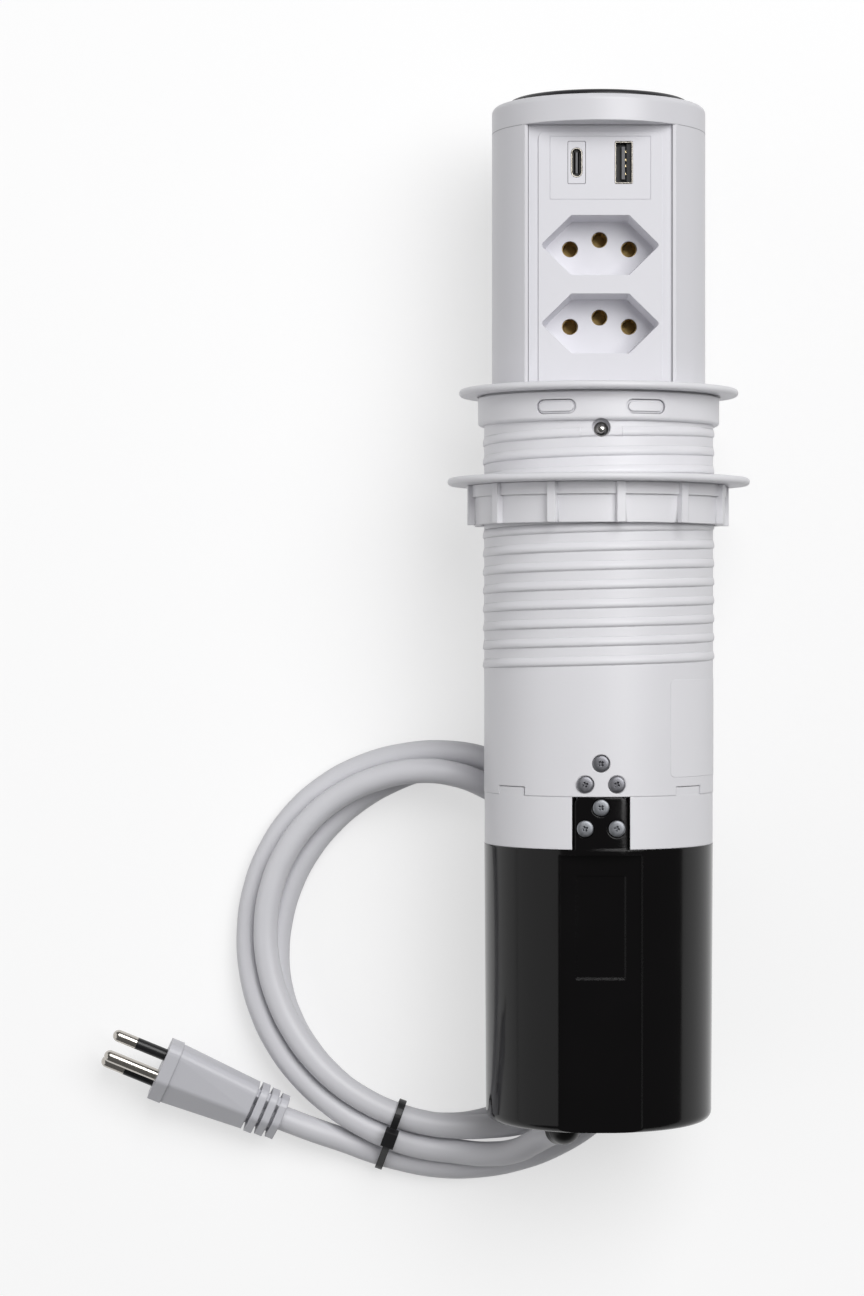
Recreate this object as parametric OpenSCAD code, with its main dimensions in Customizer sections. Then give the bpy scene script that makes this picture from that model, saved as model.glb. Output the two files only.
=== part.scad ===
// Pop-up desk socket: a round tower that slides up out of a threaded sleeve clamped in a desk hole.
// The unit lies on its back on a table: +Y runs up the tower, the sockets face +Z, the cord lies beside it.
// Every rigid piece is drawn upright, with z = 0 at the desk top and the front towards -y, then laid down.

/* [Tower] */
// Outer diameter of the sliding tower
tower_d = 69.5; // [66:0.5:70]
// Wall of the tower tube
tower_wall = 2; // [1.6:0.1:2.4]
// Height of the tower tube above the flange when raised
tower_rise = 82.9; // [80:0.5:100]
// Length of the tower that stays in the sleeve when raised
guide_len = 22.5; // [20:0.5:24]
// Travel of the tower between raised and lowered
lift_stroke = 91; // [60:1:91]
// Running clearance between the tower and what it slides in, on the radius
slide_gap = 0.45; // [0.3:0.05:0.6]
// Height of the cap on top of the tower
cap_h = 8.7; // [7:0.1:11]
// Rounding of the cap's top edge
cap_edge_r = 2; // [0.5:0.1:3]
// Diameter of the black pad in the cap
pad_d = 59; // [40:1:60]
// Thickness of the pad
pad_h = 3.9; // [3:0.1:4.5]
// Height of the pad above the cap
pad_proud = 2.1; // [0.5:0.1:2.4]

/* [Front] */
// Width of the window in the tower tube
window_w = 46; // [44:0.1:47]
// Width of the flat lips along the window's sides
window_lip_w = 1.1; // [0.6:0.1:1.4]
// Distance of the socket face in front of the tower axis
face_out = 24; // [23:0.1:24.5]
// Thickness of the faceplate
face_t = 2.5; // [2:0.1:3]
// Width of the raised middle of the faceplate
frame_w = 39.4; // [39:0.1:42]
// Height of the raised middle above the plate's margin
frame_rise = 0.5; // [0.2:0.1:0.8]
// Distance from the cap down to the raised middle
frame_drop = 2.3; // [1:0.1:3]
// Distance from the cap down to the middle of the upper socket
socket_drop = 38.4; // [36:0.1:40]
// Distance between the two sockets
socket_pitch = 25; // [23:0.5:26]
// Width of a socket recess
recess_w = 38; // [35:0.1:38.2]
// Height of a socket recess
recess_h = 19.1; // [17:0.1:20]
// Length of the recess's straight top and bottom sides
recess_flat = 18.5; // [16:0.1:20]
// Depth of a socket recess
recess_depth = 12; // [8:0.5:12]
// Draft of the recess walls, from the face to the floor
recess_draft = 0.85; // [0:0.05:1.2]
// Distance between the two line pins
pin_pitch = 19; // [18:0.1:20]
// Height of the earth pin above the line pins
earth_rise = 3; // [2:0.1:4]
// Diameter of a pin hole
pin_hole_d = 5.2; // [4.8:0.1:5.6]

/* [USB] */
// Width of the USB module's front
usb_w = 32.2; // [30:0.1:34]
// Height of the USB module's front
usb_h = 20.2; // [18:0.1:21]
// Distance from the cap down to the middle of the USB module
usb_drop = 13.8; // [13:0.1:14.5]
// Distance between the middles of the two USB slots
usb_pitch = 15; // [12:0.1:17]
// Height of the two USB slots above the middle of the module
port_rise = 1.7; // [0:0.1:2]
// Width of a USB slot
slot_w = 5.8; // [5.6:0.1:6.4]
// Height of a USB slot
slot_h = 13.7; // [13.4:0.1:15]
// Depth of the USB ports behind the front
port_depth = 9; // [8:0.5:10]

/* [Desk fitting] */
// Diameter of the flange on the desk
flange_d = 91; // [86:1:96]
// Thickness of the flange
flange_t = 2.4; // [2:0.1:3]
// Diameter of the collar that fills the desk hole
collar_d = 78.6; // [78:0.1:79.6]
// Height of the collar
collar_h = 9.6; // [9.4:0.1:12]
// Shadow gap between flange and collar
collar_gap = 0.6; // [0.3:0.1:1]
// Length of a snap window in the collar
snap_w = 13.2; // [10:0.1:15]
// Height of a snap window
snap_h = 4.6; // [3:0.1:4.8]
// Angle of the snap windows from the front and the back
snap_angle = 21.4; // [18:0.1:30]
// Diameter of the ball's hole in the sleeve
ball_hole_d = 5.9; // [5.6:0.1:6.2]
// Depth of the ball below the desk top
ball_drop = 12.4; // [12:0.1:13]
// Diameter of the catch's ball
ball_d = 5; // [4.6:0.1:5.2]

/* [Sleeve and nut] */
// Outer diameter of the sleeve at the root of its thread
sleeve_d = 74.6; // [74:0.1:75.4]
// Length of the sleeve below the desk top
sleeve_len = 128.3; // [120:0.5:140]
// Pitch of the thread
thread_pitch = 6; // [5:0.1:7]
// Height of the thread ridge
thread_h = 0.8; // [0.6:0.05:1]
// Height of the thread ridge at the sides, where the mould parts
thread_side_h = 0.4; // [0.2:0.05:0.6]
// Depth of the thread's upper end below the desk top
thread_start = 10.6; // [10.5:0.05:16]
// Length of the thread
thread_len = 77.75; // [60:0.25:78]
// Diameter of the clamp washer
washer_d = 98.5; // [92:0.5:104]
// Thickness of the clamp washer
washer_t = 2.5; // [2:0.1:3]
// Thickness of desk that the washer is set to
desk_t = 26.4; // [20:0.1:30]
// Height of the lock nut
nut_h = 12.8; // [11:0.1:16]
// Diameter of the nut's upper band
nut_band_d = 83.3; // [82:0.1:84]
// Height of the nut's upper band
nut_band_h = 3.9; // [3:0.1:5]
// Diameter of the nut's lower band
nut_d = 81.5; // [80.5:0.1:82]
// Diameter over the nut's grip ribs
nut_rib_d = 86; // [85:0.1:88]
// Number of grip ribs
nut_ribs = 12; // [8:1:16]
// Width of a grip rib
nut_rib_w = 2.8; // [2:0.1:4]

/* [Bottom housing] */
// Diameter of the coupling ring
ring_d = 74.3; // [74:0.1:74.5]
// Height of the coupling ring
ring_h = 16.7; // [15:0.1:20]
// Height of the ring's bayonet tabs
bayonet_h = 2.6; // [2:0.1:3]
// Angle of the bayonet tabs from the front and the back
bayonet_angle = 50; // [46:1:60]
// Width of a bayonet tab, as an angle
bayonet_sweep = 18.6; // [14:0.1:20]
// Diameter of the housing at its top
housing_d = 74.5; // [74:0.1:75]
// Diameter of the housing at its bottom
housing_end_d = 73.4; // [72:0.1:74]
// Length of the housing below the coupling ring
housing_len = 89.7; // [80:0.1:110]
// Wall of the housing
housing_wall = 2.2; // [2:0.1:2.6]
// Width of the flat channel down the housing's front
channel_w = 26.1; // [22:0.1:28]
// Distance of the channel's floor in front of the axis
channel_out = 33.5; // [33.2:0.1:34]
// Width of the housing's screwed tab
tab_w = 16.6; // [16.6:0.1:18]
// Distance between the two lower screws of a group
screw_base = 10; // [9:0.1:10.4]
// Height of the upper screw above the two lower ones
screw_rise = 6.6; // [6:0.1:7]
// Diameter of the screw heads
screw_head_d = 5.2; // [4.6:0.1:5.4]

/* [Cord and plug] */
// Diameter of the mains cord
cord_d = 8.3; // [7:0.1:8.3]
// Distance of the gland to the left of the axis
gland_left = 11; // [9:0.1:13]
// Distance of the gland behind the axis
gland_back = 16.25; // [14:0.05:18]
// Radius of the gland's ball
gland_r = 5.3; // [5:0.1:6]
// Distance of the gland's ball from the housing's end
gland_reach = 6.1; // [5.6:0.1:8]
// Length of the plug's body
plug_len = 33; // [30:0.5:38]
// Width of the plug's front
plug_w = 34.5; // [33:0.1:36]
// Thickness of the plug's front
plug_t = 18; // [16:0.1:19]
// Length of the flat sides of the plug's front
plug_flat = 13; // [11:0.1:15]
// Length of the plug's strain relief
relief_len = 11.2; // [10:0.1:14]
// Diameter of the plug's pins
plug_pin_d = 4; // [4:0.1:4.8]
// Length of the plug's pins
plug_pin_len = 19; // [18:0.5:20]
// Length of the black sleeves on the two line pins
pin_sleeve_len = 10.6; // [8:0.1:12]

/* [Hidden] */
$fn = 96;

white = "whitesmoke";
black = "#1c1b1d";
brass = "#c9a24a";
steel = "silver";

// Overlap that makes cuts clean, and the small gap left between seated pieces
over = 1;
seat = 0.1;

// Heights up the axis
shell_top = flange_t + tower_rise;
cap_top = shell_top + cap_h;
pad_top = cap_top + pad_proud;
tower_foot = -guide_len;
lowered_foot = tower_foot - lift_stroke;
seam_z = -sleeve_len;
ring_bottom = seam_z - ring_h;
housing_bottom = ring_bottom - housing_len;
ball_center_z = housing_bottom - gland_reach;
sill_z = flange_t - 1.4;

// Mouth of the gland: the way the cord leaves it, turned from +X and dipping to the table
mouth_heading = 215;
mouth_dip = 62;
mouth_len = gland_r + 0.2;
mouth_r = cord_d / 2 + 0.45;
mouth_dir = [cos(mouth_heading) * cos(mouth_dip), sin(mouth_heading) * cos(mouth_dip), -sin(mouth_dip)];
mouth_edge = mouth_r * sqrt(1 - pow(mouth_dir[1], 2)) - mouth_len * mouth_dir[1];
gland_tip = ball_center_z - max(gland_r, mouth_edge);

// Radii
tower_r = tower_d / 2;
shell_in_r = tower_r - tower_wall;
bore_r = tower_r + slide_gap;
sleeve_r = sleeve_d / 2;
collar_r = collar_d / 2;
skirt_r = sleeve_r - 0.1;
skirt_depth = collar_h - 1.8;
key_r = bore_r + 0.65;
keyway_r = key_r + 0.25;
key_w = 4.4;
key_z = -14.3;
ring_r = ring_d / 2;
ring_step = 0.1;
ring_end_r = housing_d / 2 - ring_step;
function ring_r_at(z) = ring_r + (ring_end_r - ring_r) * (seam_z - z) / ring_h;
ring_in_r = bore_r + 0.2;
spigot_r = bore_r - seat;
crest_r = sleeve_r + thread_h;
nut_bore_r = crest_r + 0.4;

// Placement of the lying unit: the washer's rim rests on the table
axis_h = washer_d / 2;
mid_y = -(pad_top + gland_tip) / 2;
module lay() {
    translate([0, mid_y, axis_h])
        rotate([-90, 0, 0])
            children();
}

// A cylinder through a wall, along the line from the axis to the front
module front_hole(x, z, d, from, to) {
    translate([x, -to, z])
        rotate([-90, 0, 0])
            cylinder(d = d, h = to - from);
}

// A slot with round ends, pushed out from the axis at an angle from the front
module snap_shape(angle, w, h, z, from, to) {
    rotate([0, 0, angle]) {
        for (side = [-1, 1])
            front_hole(side * (w - h) / 2, z, h, from, to);
        translate([-(w - h) / 2, -to, z - h / 2])
            cube([w - h, to - from, h]);
    }
}

// A wedge of a tube wall, centred on an angle from the front
module wall_sector(angle, sweep, r_in, r_out, z, h) {
    rotate([0, 0, angle - 90 - sweep / 2])
        translate([0, 0, z])
            rotate_extrude(angle = sweep)
                translate([r_in, 0])
                    square([r_out - r_in, h]);
}

// A plain tube on the axis
module tube(r_out, r_in, z, h) {
    difference() {
        translate([0, 0, z])
            cylinder(r = r_out, h = h);
        translate([0, 0, z - over])
            cylinder(r = r_in, h = h + 2 * over);
    }
}

// Points of an outline with every corner rounded
function unit(v) = v / norm(v);
function corner_arc(a, b, c, r, steps) =
    let (u = unit(a - b),
         v = unit(c - b),
         half = acos(u * v) / 2,
         center = b + unit(u + v) * r / sin(half),
         p = b + u * r / tan(half) - center,
         q = b + v * r / tan(half) - center,
         from = atan2(p[1], p[0]),
         turn = (atan2(q[1], q[0]) - from + 540) % 360 - 180)
    [for (i = [0:steps]) center + r * [cos(from + turn * i / steps), sin(from + turn * i / steps)]];
function rounded(points, r, steps = 5) =
    let (n = len(points))
    [for (i = [0:n - 1]) each corner_arc(points[(i + n - 1) % n], points[i], points[(i + 1) % n], r, steps)];
function box_outline(w, h) = [[-w / 2, -h / 2], [w / 2, -h / 2], [w / 2, h / 2], [-w / 2, h / 2]];
function hex_outline(w, h, flat) = [[-flat / 2, -h / 2], [flat / 2, -h / 2], [w / 2, 0],
    [flat / 2, h / 2], [-flat / 2, h / 2], [-w / 2, 0]];

// An outline on the tower's front, pushed back from the face
module front_prism(points, x, z, out, depth) {
    translate([x, -out, z])
        rotate([90, 0, 0])
            translate([0, 0, -depth])
                linear_extrude(depth)
                    polygon(points);
}

// A closed skin over a row of rings, each ring right-handed about the way it travels
module skin(rings) {
    n = len(rings[0]);
    last = (len(rings) - 1) * n;
    sides = [for (i = [0:len(rings) - 2], j = [0:n - 1])
        let (k = (j + 1) % n, a = i * n + j, b = i * n + k, c = b + n, d = a + n)
        each [[a, d, c], [a, c, b]]];
    caps = [for (j = [1:n - 2]) each [[0, j, j + 1], [last, last + j + 1, last + j]]];
    polyhedron([for (ring = rings) each ring], concat(sides, caps));
}

// A helical ridge: the profile lists [radius, height] clockwise, and climbs one pitch a turn
// Near the two sides it stays within the radius side_r
thread_segments = 30;
side_sweep = 68;
module helix_ridge(profile, from_angle, turns, side_r) {
    steps = ceil(turns * thread_segments);
    skin([for (i = [0:steps])
        let (angle = from_angle + 360 * turns * i / steps,
             low = (angle + side_sweep / 2) % 180 < side_sweep)
        [for (p = profile)
            let (r = low ? min(p[0], side_r) : p[0])
            [r * cos(angle), r * sin(angle), p[1] + thread_pitch * angle / 360]]]);
}

// Rings of a round cord along a route, with the first and last ring square to the given ends
function route_dir(route, i, first, last) =
    i == 0 ? unit(first) : i == len(route) - 1 ? unit(last) :
    unit(unit(route[i + 1] - route[i]) + unit(route[i] - route[i - 1]));
function cord_ring(center, dir, r, sides, up) =
    let (across = unit(cross(up, dir)),
         rise = cross(dir, across))
    [for (k = [0:sides - 1]) center + r * (across * cos(360 * k / sides) + rise * sin(360 * k / sides))];
module cord_tube(route, r, sides, first, last, up) {
    skin([for (i = [0:len(route) - 1])
        cord_ring(route[i], route_dir(route, i, first, last), r, sides, up)]);
}

// Tower

cap_wall_r = pad_d / 2 + 0.25;
cap_floor = 2;
pad_seat = pad_top - pad_h;
pad_edge_r = 1.6;

module top_pad() {
    color(black)
        lay()
            rotate_extrude()
                polygon(concat([[0, pad_seat], [pad_d / 2, pad_seat]],
                    [for (a = [0:15:90]) [pad_d / 2 - pad_edge_r + pad_edge_r * cos(a),
                        pad_top - pad_edge_r + pad_edge_r * sin(a)]],
                    [[0, pad_top]]));
}

module cap_ring() {
    ledge = 3;
    spigot_h = 6;
    spigot_t = 2;
    color(white)
        lay() {
            difference() {
                rotate_extrude()
                    polygon(concat([[0, shell_top], [tower_r, shell_top]],
                        [for (a = [0:15:90]) [tower_r - cap_edge_r + cap_edge_r * cos(a),
                            cap_top - cap_edge_r + cap_edge_r * sin(a)]],
                        [[0, cap_top]]));
                translate([0, 0, pad_seat])
                    cylinder(r = cap_wall_r, h = pad_h + over);
                translate([0, 0, shell_top + cap_floor])
                    cylinder(r = cap_wall_r - ledge, h = cap_h);
            }
            difference() {
                tube(shell_in_r - seat, shell_in_r - seat - spigot_t, shell_top - spigot_h, spigot_h + over);
                translate([-tower_d / 2, -tower_d - rail_back + rail_t + over, shell_top - spigot_h - over])
                    cube([tower_d, tower_d, spigot_h + 3 * over]);
            }
        }
}

// Rails inside the tube, behind the faceplate's edges
rail_back = face_out - face_t - seat;
rail_t = 1.8;
rail_in_x = window_w / 2 - 2;

module tower_shell() {
    lip_t = 0.5;
    window_lip_out = sqrt(pow(tower_r, 2) - pow(window_w / 2 + window_lip_w, 2));
    color(white)
        lay()
            difference() {
                union() {
                    difference() {
                        tube(tower_r, shell_in_r, tower_foot, shell_top - tower_foot);
                        translate([-tower_d, -tower_d - window_lip_out, sill_z])
                            cube([2 * tower_d, tower_d, tower_rise + tower_d]);
                        translate([-window_w / 2, -tower_d, sill_z])
                            cube([window_w, tower_d, tower_rise + tower_d]);
                    }
                    intersection() {
                        translate([0, 0, tower_foot])
                            cylinder(r = tower_r - tower_wall / 2, h = shell_top - tower_foot - cap_ring_room);
                        for (side = [0, 1])
                            mirror([side, 0, 0])
                                translate([rail_in_x, -rail_back, sill_z - sill_t])
                                    cube([tower_r, rail_t, tower_rise + tower_d]);
                    }
                    intersection() {
                        translate([0, 0, sill_z - sill_t])
                            cylinder(r = tower_r - tower_wall / 2, h = sill_t);
                        translate([-tower_r, -tower_d - face_out - seat, sill_z - sill_t])
                            cube([tower_d, tower_d, sill_t]);
                    }
                    for (side = [-1, 1])
                        intersection() {
                            tube(key_r, tower_r - tower_wall / 2, tower_foot, key_z - tower_foot);
                            translate([side * tower_r - tower_wall, -key_w / 2, tower_foot])
                                cube([2 * tower_wall, key_w, key_z - tower_foot]);
                        }
                }
                front_hole(0, -ball_drop, ball_lip_d, shell_in_r - over, tower_r + over);
                front_hole(0, -ball_drop, ball_bore_d, shell_in_r - over, tower_r - lip_t);
            }
}
cap_ring_room = 6.2;
sill_t = 2;

// Ball catch: the ball is trapped behind a thin lip in the tube's wall
ball_bore_d = ball_d + 0.2;
ball_lip_d = ball_d - 0.4;
ball_lip_out = tower_r - 0.5;
ball_out = ball_lip_out - sqrt(pow(ball_d / 2, 2) - pow(ball_lip_d / 2, 2)) - 0.05;
pocket_out = 20;

module detent_ball() {
    color(steel)
        lay()
            translate([0, -ball_out, -ball_drop])
                sphere(d = ball_d);
}

spring_wire = 0.6;
spring_r = ball_bore_d / 2 - spring_wire / 2 - 0.35;
spring_turns = 7;
spring_len = ball_out - sqrt(pow(ball_d / 2, 2) - pow(spring_r, 2)) - pocket_out - 2 * seat;
function spring_at(a) = [spring_r * cos(a), spring_r * sin(a),
    spring_wire / 2 + (spring_len - spring_wire) * a / (360 * spring_turns)];

module detent_spring() {
    rings = 8 * spring_turns;
    route = [for (i = [0:rings]) spring_at(360 * spring_turns * i / rings)];
    color(steel)
        lay()
            translate([0, -pocket_out - seat, -ball_drop])
                rotate([90, 0, 0])
                    cord_tube(route, spring_wire / 2, 6, [0, 1, 0.1], [0, 1, 0.1], [0, 0, 1]);
}

base_floor = 3;
base_r = shell_in_r - seat;
post_x = 15.5;

module tower_base() {
    rim_h = 14;
    rim_t = 2;
    boss_w = 11;
    post_d = 5;
    color(white)
        lay() {
            difference() {
                union() {
                    translate([0, 0, tower_foot])
                        cylinder(r = base_r, h = base_floor);
                    tube(base_r, base_r - rim_t, tower_foot, rim_h);
                    intersection() {
                        translate([0, 0, tower_foot])
                            cylinder(r = base_r, h = guide_len);
                        translate([-boss_w / 2, -tower_r, tower_foot])
                            cube([boss_w, tower_r - pocket_out + 2, guide_len - ball_drop + boss_w / 2]);
                    }
                }
                front_hole(0, -ball_drop, ball_bore_d, pocket_out, tower_r);
            }
            for (side = [-1, 1])
                translate([side * post_x, carrier_back + plate_t / 2, tower_foot + over])
                    cylinder(d = post_d, h = carrier_z - seat - tower_foot - over);
        }
}

// Front of the tower

face_z = sill_z + seat;
face_h = shell_top - seat - face_z;
face_w = window_w - 0.3;
socket_z = [for (k = [0, 1]) shell_top - socket_drop - k * socket_pitch];
usb_z = shell_top - usb_drop;
port_z = usb_z + port_rise;
recess_wall = 1.5;
recess_r = 1;
frame_corner_r = 2;
recess_back = face_out + frame_rise - recess_depth - recess_wall;
recess_slope = atan2(recess_h, recess_w - recess_flat);
function recess_outline(inset) = rounded(hex_outline(recess_w - 2 * inset / sin(recess_slope),
    recess_h - 2 * inset, recess_flat - 2 * inset * tan(recess_slope / 2)), recess_r);
module recess_shape(out, depth) {
    for (z = socket_z)
        skin([for (back = [depth, -over])
            [for (p = recess_outline(recess_draft * back / depth)) [p[0], back - out, p[1] + z]]]);
}
function pin_xz(z) = [[-pin_pitch / 2, z], [pin_pitch / 2, z], [0, z + earth_rise]];

module socket_faceplate() {
    frame_top = shell_top - frame_drop;
    frame_h = frame_top - face_z;
    cup_w = recess_w + 2 * recess_wall;
    cup_h = recess_h + 2 * recess_wall;
    color(white)
        lay()
            difference() {
                union() {
                    translate([-face_w / 2, -face_out, face_z])
                        cube([face_w, face_t, face_h]);
                    front_prism(rounded(box_outline(frame_w, frame_h), frame_corner_r), 0, face_z + frame_h / 2,
                        face_out + frame_rise, face_t);
                    for (z = socket_z)
                        translate([-cup_w / 2, -face_out, z - cup_h / 2])
                            cube([cup_w, face_out - recess_back, cup_h]);
                }
                recess_shape(face_out + frame_rise, recess_depth);
                for (z = socket_z, p = pin_xz(z))
                    front_hole(p[0], p[1], pin_hole_d, recess_back - over, face_out);
                translate([-usb_w / 2, -face_out - over, usb_z - usb_h / 2])
                    cube([usb_w, face_t + 2 * over, usb_h]);
            }
}

usb_gap = 0.15;
usb_out = face_out + frame_rise;
usb_t = 3;
port_back = usb_out - port_depth;
board_t = 1.6;
usb_x = usb_pitch / 2;

module usb_module_face() {
    post_d = 3;
    flange = 1.4;
    color(white)
        lay() {
            difference() {
                union() {
                    translate([-usb_w / 2 + usb_gap, -usb_out, usb_z - usb_h / 2 + usb_gap])
                        cube([usb_w - 2 * usb_gap, usb_t, usb_h - 2 * usb_gap]);
                    translate([-usb_w / 2 - flange, -face_out + face_t + usb_gap, usb_z - usb_h / 2])
                        cube([usb_w + 2 * flange, flange, usb_h]);
                }
                for (side = [-1, 1])
                    front_prism(rounded(box_outline(slot_w, slot_h), 0.5), side * usb_x, port_z,
                        usb_out + over, usb_t + 3 * over);
            }
            for (x = [-1, 1], z = [-1, 1])
                front_hole(x * (usb_w / 2 - post_d / 2), usb_z + z * (usb_h / 2 - post_d / 2), post_d,
                    port_back, usb_out - usb_t + over / 2);
        }
}

c_shell_w = 3.6;
c_shell_h = 9.4;
c_wall = 0.35;
module pill(x, z, w, h, out, depth) {
    front_prism(rounded(box_outline(w, h), w / 2 - 0.01, 8), x, z, out, depth);
}

module usb_c_insert() {
    color(white)
        lay()
            difference() {
                front_prism(rounded(box_outline(slot_w - 2 * usb_gap, slot_h - 2 * usb_gap), 0.4), -usb_x, port_z,
                    usb_out, usb_t + over);
                pill(-usb_x, port_z, c_shell_w + 0.2, c_shell_h + 0.2, usb_out + over, usb_t + 3 * over);
            }
}

module usb_c_shell() {
    color(steel)
        lay()
            difference() {
                pill(-usb_x, port_z, c_shell_w, c_shell_h, usb_out - 0.2, port_depth - 0.2);
                pill(-usb_x, port_z, c_shell_w - 2 * c_wall, c_shell_h - 2 * c_wall, usb_out, port_depth - over);
            }
}

module usb_c_tongue() {
    tongue_w = 0.7;
    tongue_h = 6.7;
    color(black)
        lay()
            front_prism(box_outline(tongue_w, tongue_h), -usb_x, port_z, usb_out - 1, port_depth - over - 1);
}

a_wall = 0.3;
a_shell_w = slot_w - 0.2;
a_shell_h = slot_h - 0.4;

module usb_a_shell() {
    color(steel)
        lay()
            difference() {
                front_prism(box_outline(a_shell_w, a_shell_h), usb_x, port_z, usb_out - 0.2, port_depth - 0.2);
                front_prism(box_outline(a_shell_w - 2 * a_wall, a_shell_h - 2 * a_wall), usb_x, port_z,
                    usb_out, port_depth - over);
            }
}

module usb_a_tongue() {
    tongue_w = 1.9;
    tongue_h = 11.1;
    color(black)
        lay()
            front_prism(box_outline(tongue_w, tongue_h), usb_x - 0.9, port_z, usb_out - 1.2, port_depth - over - 1.2);
}

module usb_board() {
    color("darkgreen")
        lay()
            translate([-usb_w / 2, -port_back, usb_z - usb_h / 2])
                cube([usb_w, board_t, usb_h]);
}

module usb_supply() {
    supply_w = 18;
    supply_h = 15;
    supply_t = 11;
    can_d = 6;
    color("goldenrod")
        lay() {
            translate([-supply_w / 2, -port_back + board_t, usb_z - supply_h / 2])
                cube([supply_w, supply_t, supply_h]);
            for (side = [-1, 1])
                front_hole(side * (supply_w / 2 + can_d / 2 + 0.5), usb_z, can_d,
                    port_back - board_t - supply_t, port_back - board_t);
        }
}

// Contacts behind the sockets

plate_t = 2;
contact_wall = 0.5;
contact_d = pin_hole_d + 2 * contact_wall;
contact_len = 9.7;
contact_front = recess_back - seat;
strip_out = contact_front - contact_len;
strip_t = 1.2;
strip_w = 5.6;
carrier_w = pin_pitch + 15;
carrier_z = socket_z[1] - 9;
strip_z = carrier_z - 3;
carrier_top = socket_z[0] + earth_rise + 7;
carrier_back = -strip_out + strip_t + seat;

module contact_carrier() {
    color("gray")
        lay()
            difference() {
                translate([-carrier_w / 2, -contact_front, carrier_z])
                    cube([carrier_w, contact_len, carrier_top - carrier_z]);
                for (z = socket_z, p = pin_xz(z))
                    front_hole(p[0], p[1], contact_d + 2 * seat, strip_out - over, contact_front + over);
            }
}

module insulator_plate() {
    color("dimgray")
        lay()
            translate([-carrier_w / 2, carrier_back, carrier_z])
                cube([carrier_w, plate_t, carrier_top - carrier_z]);
}

// A brass strip with one socket tube for each outlet
module busbar(x, rise) {
    strip_top = socket_z[0] + rise + contact_d / 2;
    color(brass)
        lay() {
            difference() {
                for (z = socket_z)
                    front_hole(x, z + rise, contact_d, strip_out - strip_t / 2, contact_front);
                for (z = socket_z)
                    front_hole(x, z + rise, pin_hole_d, strip_out + seat, contact_front + over);
            }
            translate([x - strip_w / 2, -strip_out, strip_z])
                cube([strip_w, strip_t, strip_top - strip_z]);
        }
}
module line_busbar() busbar(pin_pitch / 2, 0);
module neutral_busbar() busbar(-pin_pitch / 2, 0);
module earth_busbar() busbar(0, earth_rise);

module core_wires() {
    core_d = 2.6;
    color("sienna")
        lay()
            for (x = [-1, 0, 1])
                translate([x * pin_pitch / 2, -strip_out + strip_t / 2, tower_foot + base_floor])
                    cylinder(d = core_d, h = strip_z - tower_foot - base_floor);
}

// Desk flange, sleeve, washer and nut

module desk_flange() {
    edge = flange_t / 2;
    relief_r = collar_r + 0.25;
    relief_h = 0.3;
    color(white)
        lay() {
            rotate_extrude()
                polygon(concat([[bore_r, -skirt_depth], [skirt_r, -skirt_depth], [skirt_r, relief_h],
                        [relief_r, relief_h], [relief_r, 0]],
                    [for (a = [-90:15:90]) [flange_d / 2 - edge + edge * cos(a), edge + edge * sin(a)]],
                    [[bore_r, flange_t]]));
            for (back = [0, 180], side = [-1, 1]) {
                snap_lug(back + side * snap_angle, 0.2, collar_r - 0.8);
                snap_lug(back + side * snap_angle, 0.8, collar_r - 0.2);
            }
        }
}
snap_z = -collar_h / 2 - 0.5;

// One step of a lug on the flange's skirt, with a gap all round in its window
module snap_lug(angle, gap, r) {
    intersection() {
        snap_shape(angle, snap_w - 2 * gap, snap_h - 2 * gap, snap_z, sleeve_r - over, collar_r + over);
        tube(r, skirt_r - over / 2, -collar_h, collar_h);
    }
}

thread_crest = 1.1;
thread_low_flank = 0.5;
thread_high_flank = 1.4;
thread_bury = 0.4;
// The ridge starts on the left; its height is given as if the turn began at angle 0
thread_from = 180;
thread_base = -thread_start - thread_len - thread_pitch * thread_from / 360;

module threaded_sleeve() {
    edge = 1.2;
    top = -collar_gap;
    turns = (thread_len - thread_high_flank - thread_crest) / thread_pitch;
    track_w = ball_d + 0.4;
    bury = thread_bury / thread_h;
    color(white)
        lay()
            difference() {
                union() {
                    rotate_extrude()
                        polygon(concat([[bore_r, seam_z], [sleeve_r, seam_z], [sleeve_r, -collar_h]],
                            [for (a = [-90:15:0]) [collar_r - edge + edge * cos(a),
                                -collar_h + edge + edge * sin(a)]],
                            [[collar_r, top], [sleeve_r, top], [sleeve_r, -skirt_depth], [bore_r, -skirt_depth]]));
                    helix_ridge([
                        [sleeve_r - thread_bury, thread_base + thread_low_flank + thread_crest
                            + thread_high_flank * (1 + bury)],
                        [crest_r, thread_base + thread_low_flank + thread_crest],
                        [crest_r, thread_base + thread_low_flank],
                        [sleeve_r - thread_bury, thread_base - thread_low_flank * bury]], thread_from, turns,
                        sleeve_r + thread_side_h);
                }
                for (back = [0, 180], side = [-1, 1])
                    snap_shape(back + side * snap_angle, snap_w, snap_h, snap_z, sleeve_r - over, collar_r + over);
                front_hole(0, -ball_drop + 0.4, ball_hole_d, bore_r - over, collar_r + over);
                translate([-track_w / 2, -keyway_r, seam_z - over])
                    cube([track_w, keyway_r - bore_r / 2, -ball_drop - seam_z + over]);
                for (side = [-1, 1])
                    intersection() {
                        tube(keyway_r, bore_r - over, seam_z - over, key_z + 0.3 - seam_z + over);
                        translate([side * bore_r - 3, -key_w / 2 - 0.3, seam_z - over])
                            cube([6, key_w + 0.6, -seam_z]);
                    }
                for (back = [0, 180], side = [-1, 1])
                    wall_sector(back + side * bayonet_angle, bayonet_sweep + 1, bore_r - over, sleeve_r + over,
                        seam_z - over, bayonet_h + 0.2 + over);
                for (p = screw_xz(sleeve_screw_z))
                    screw_hole(p, sleeve_seat(p));
            }
}

washer_top = -desk_t;
nut_top = washer_top - washer_t - seat;
nut_bottom = nut_top - nut_h;

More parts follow.
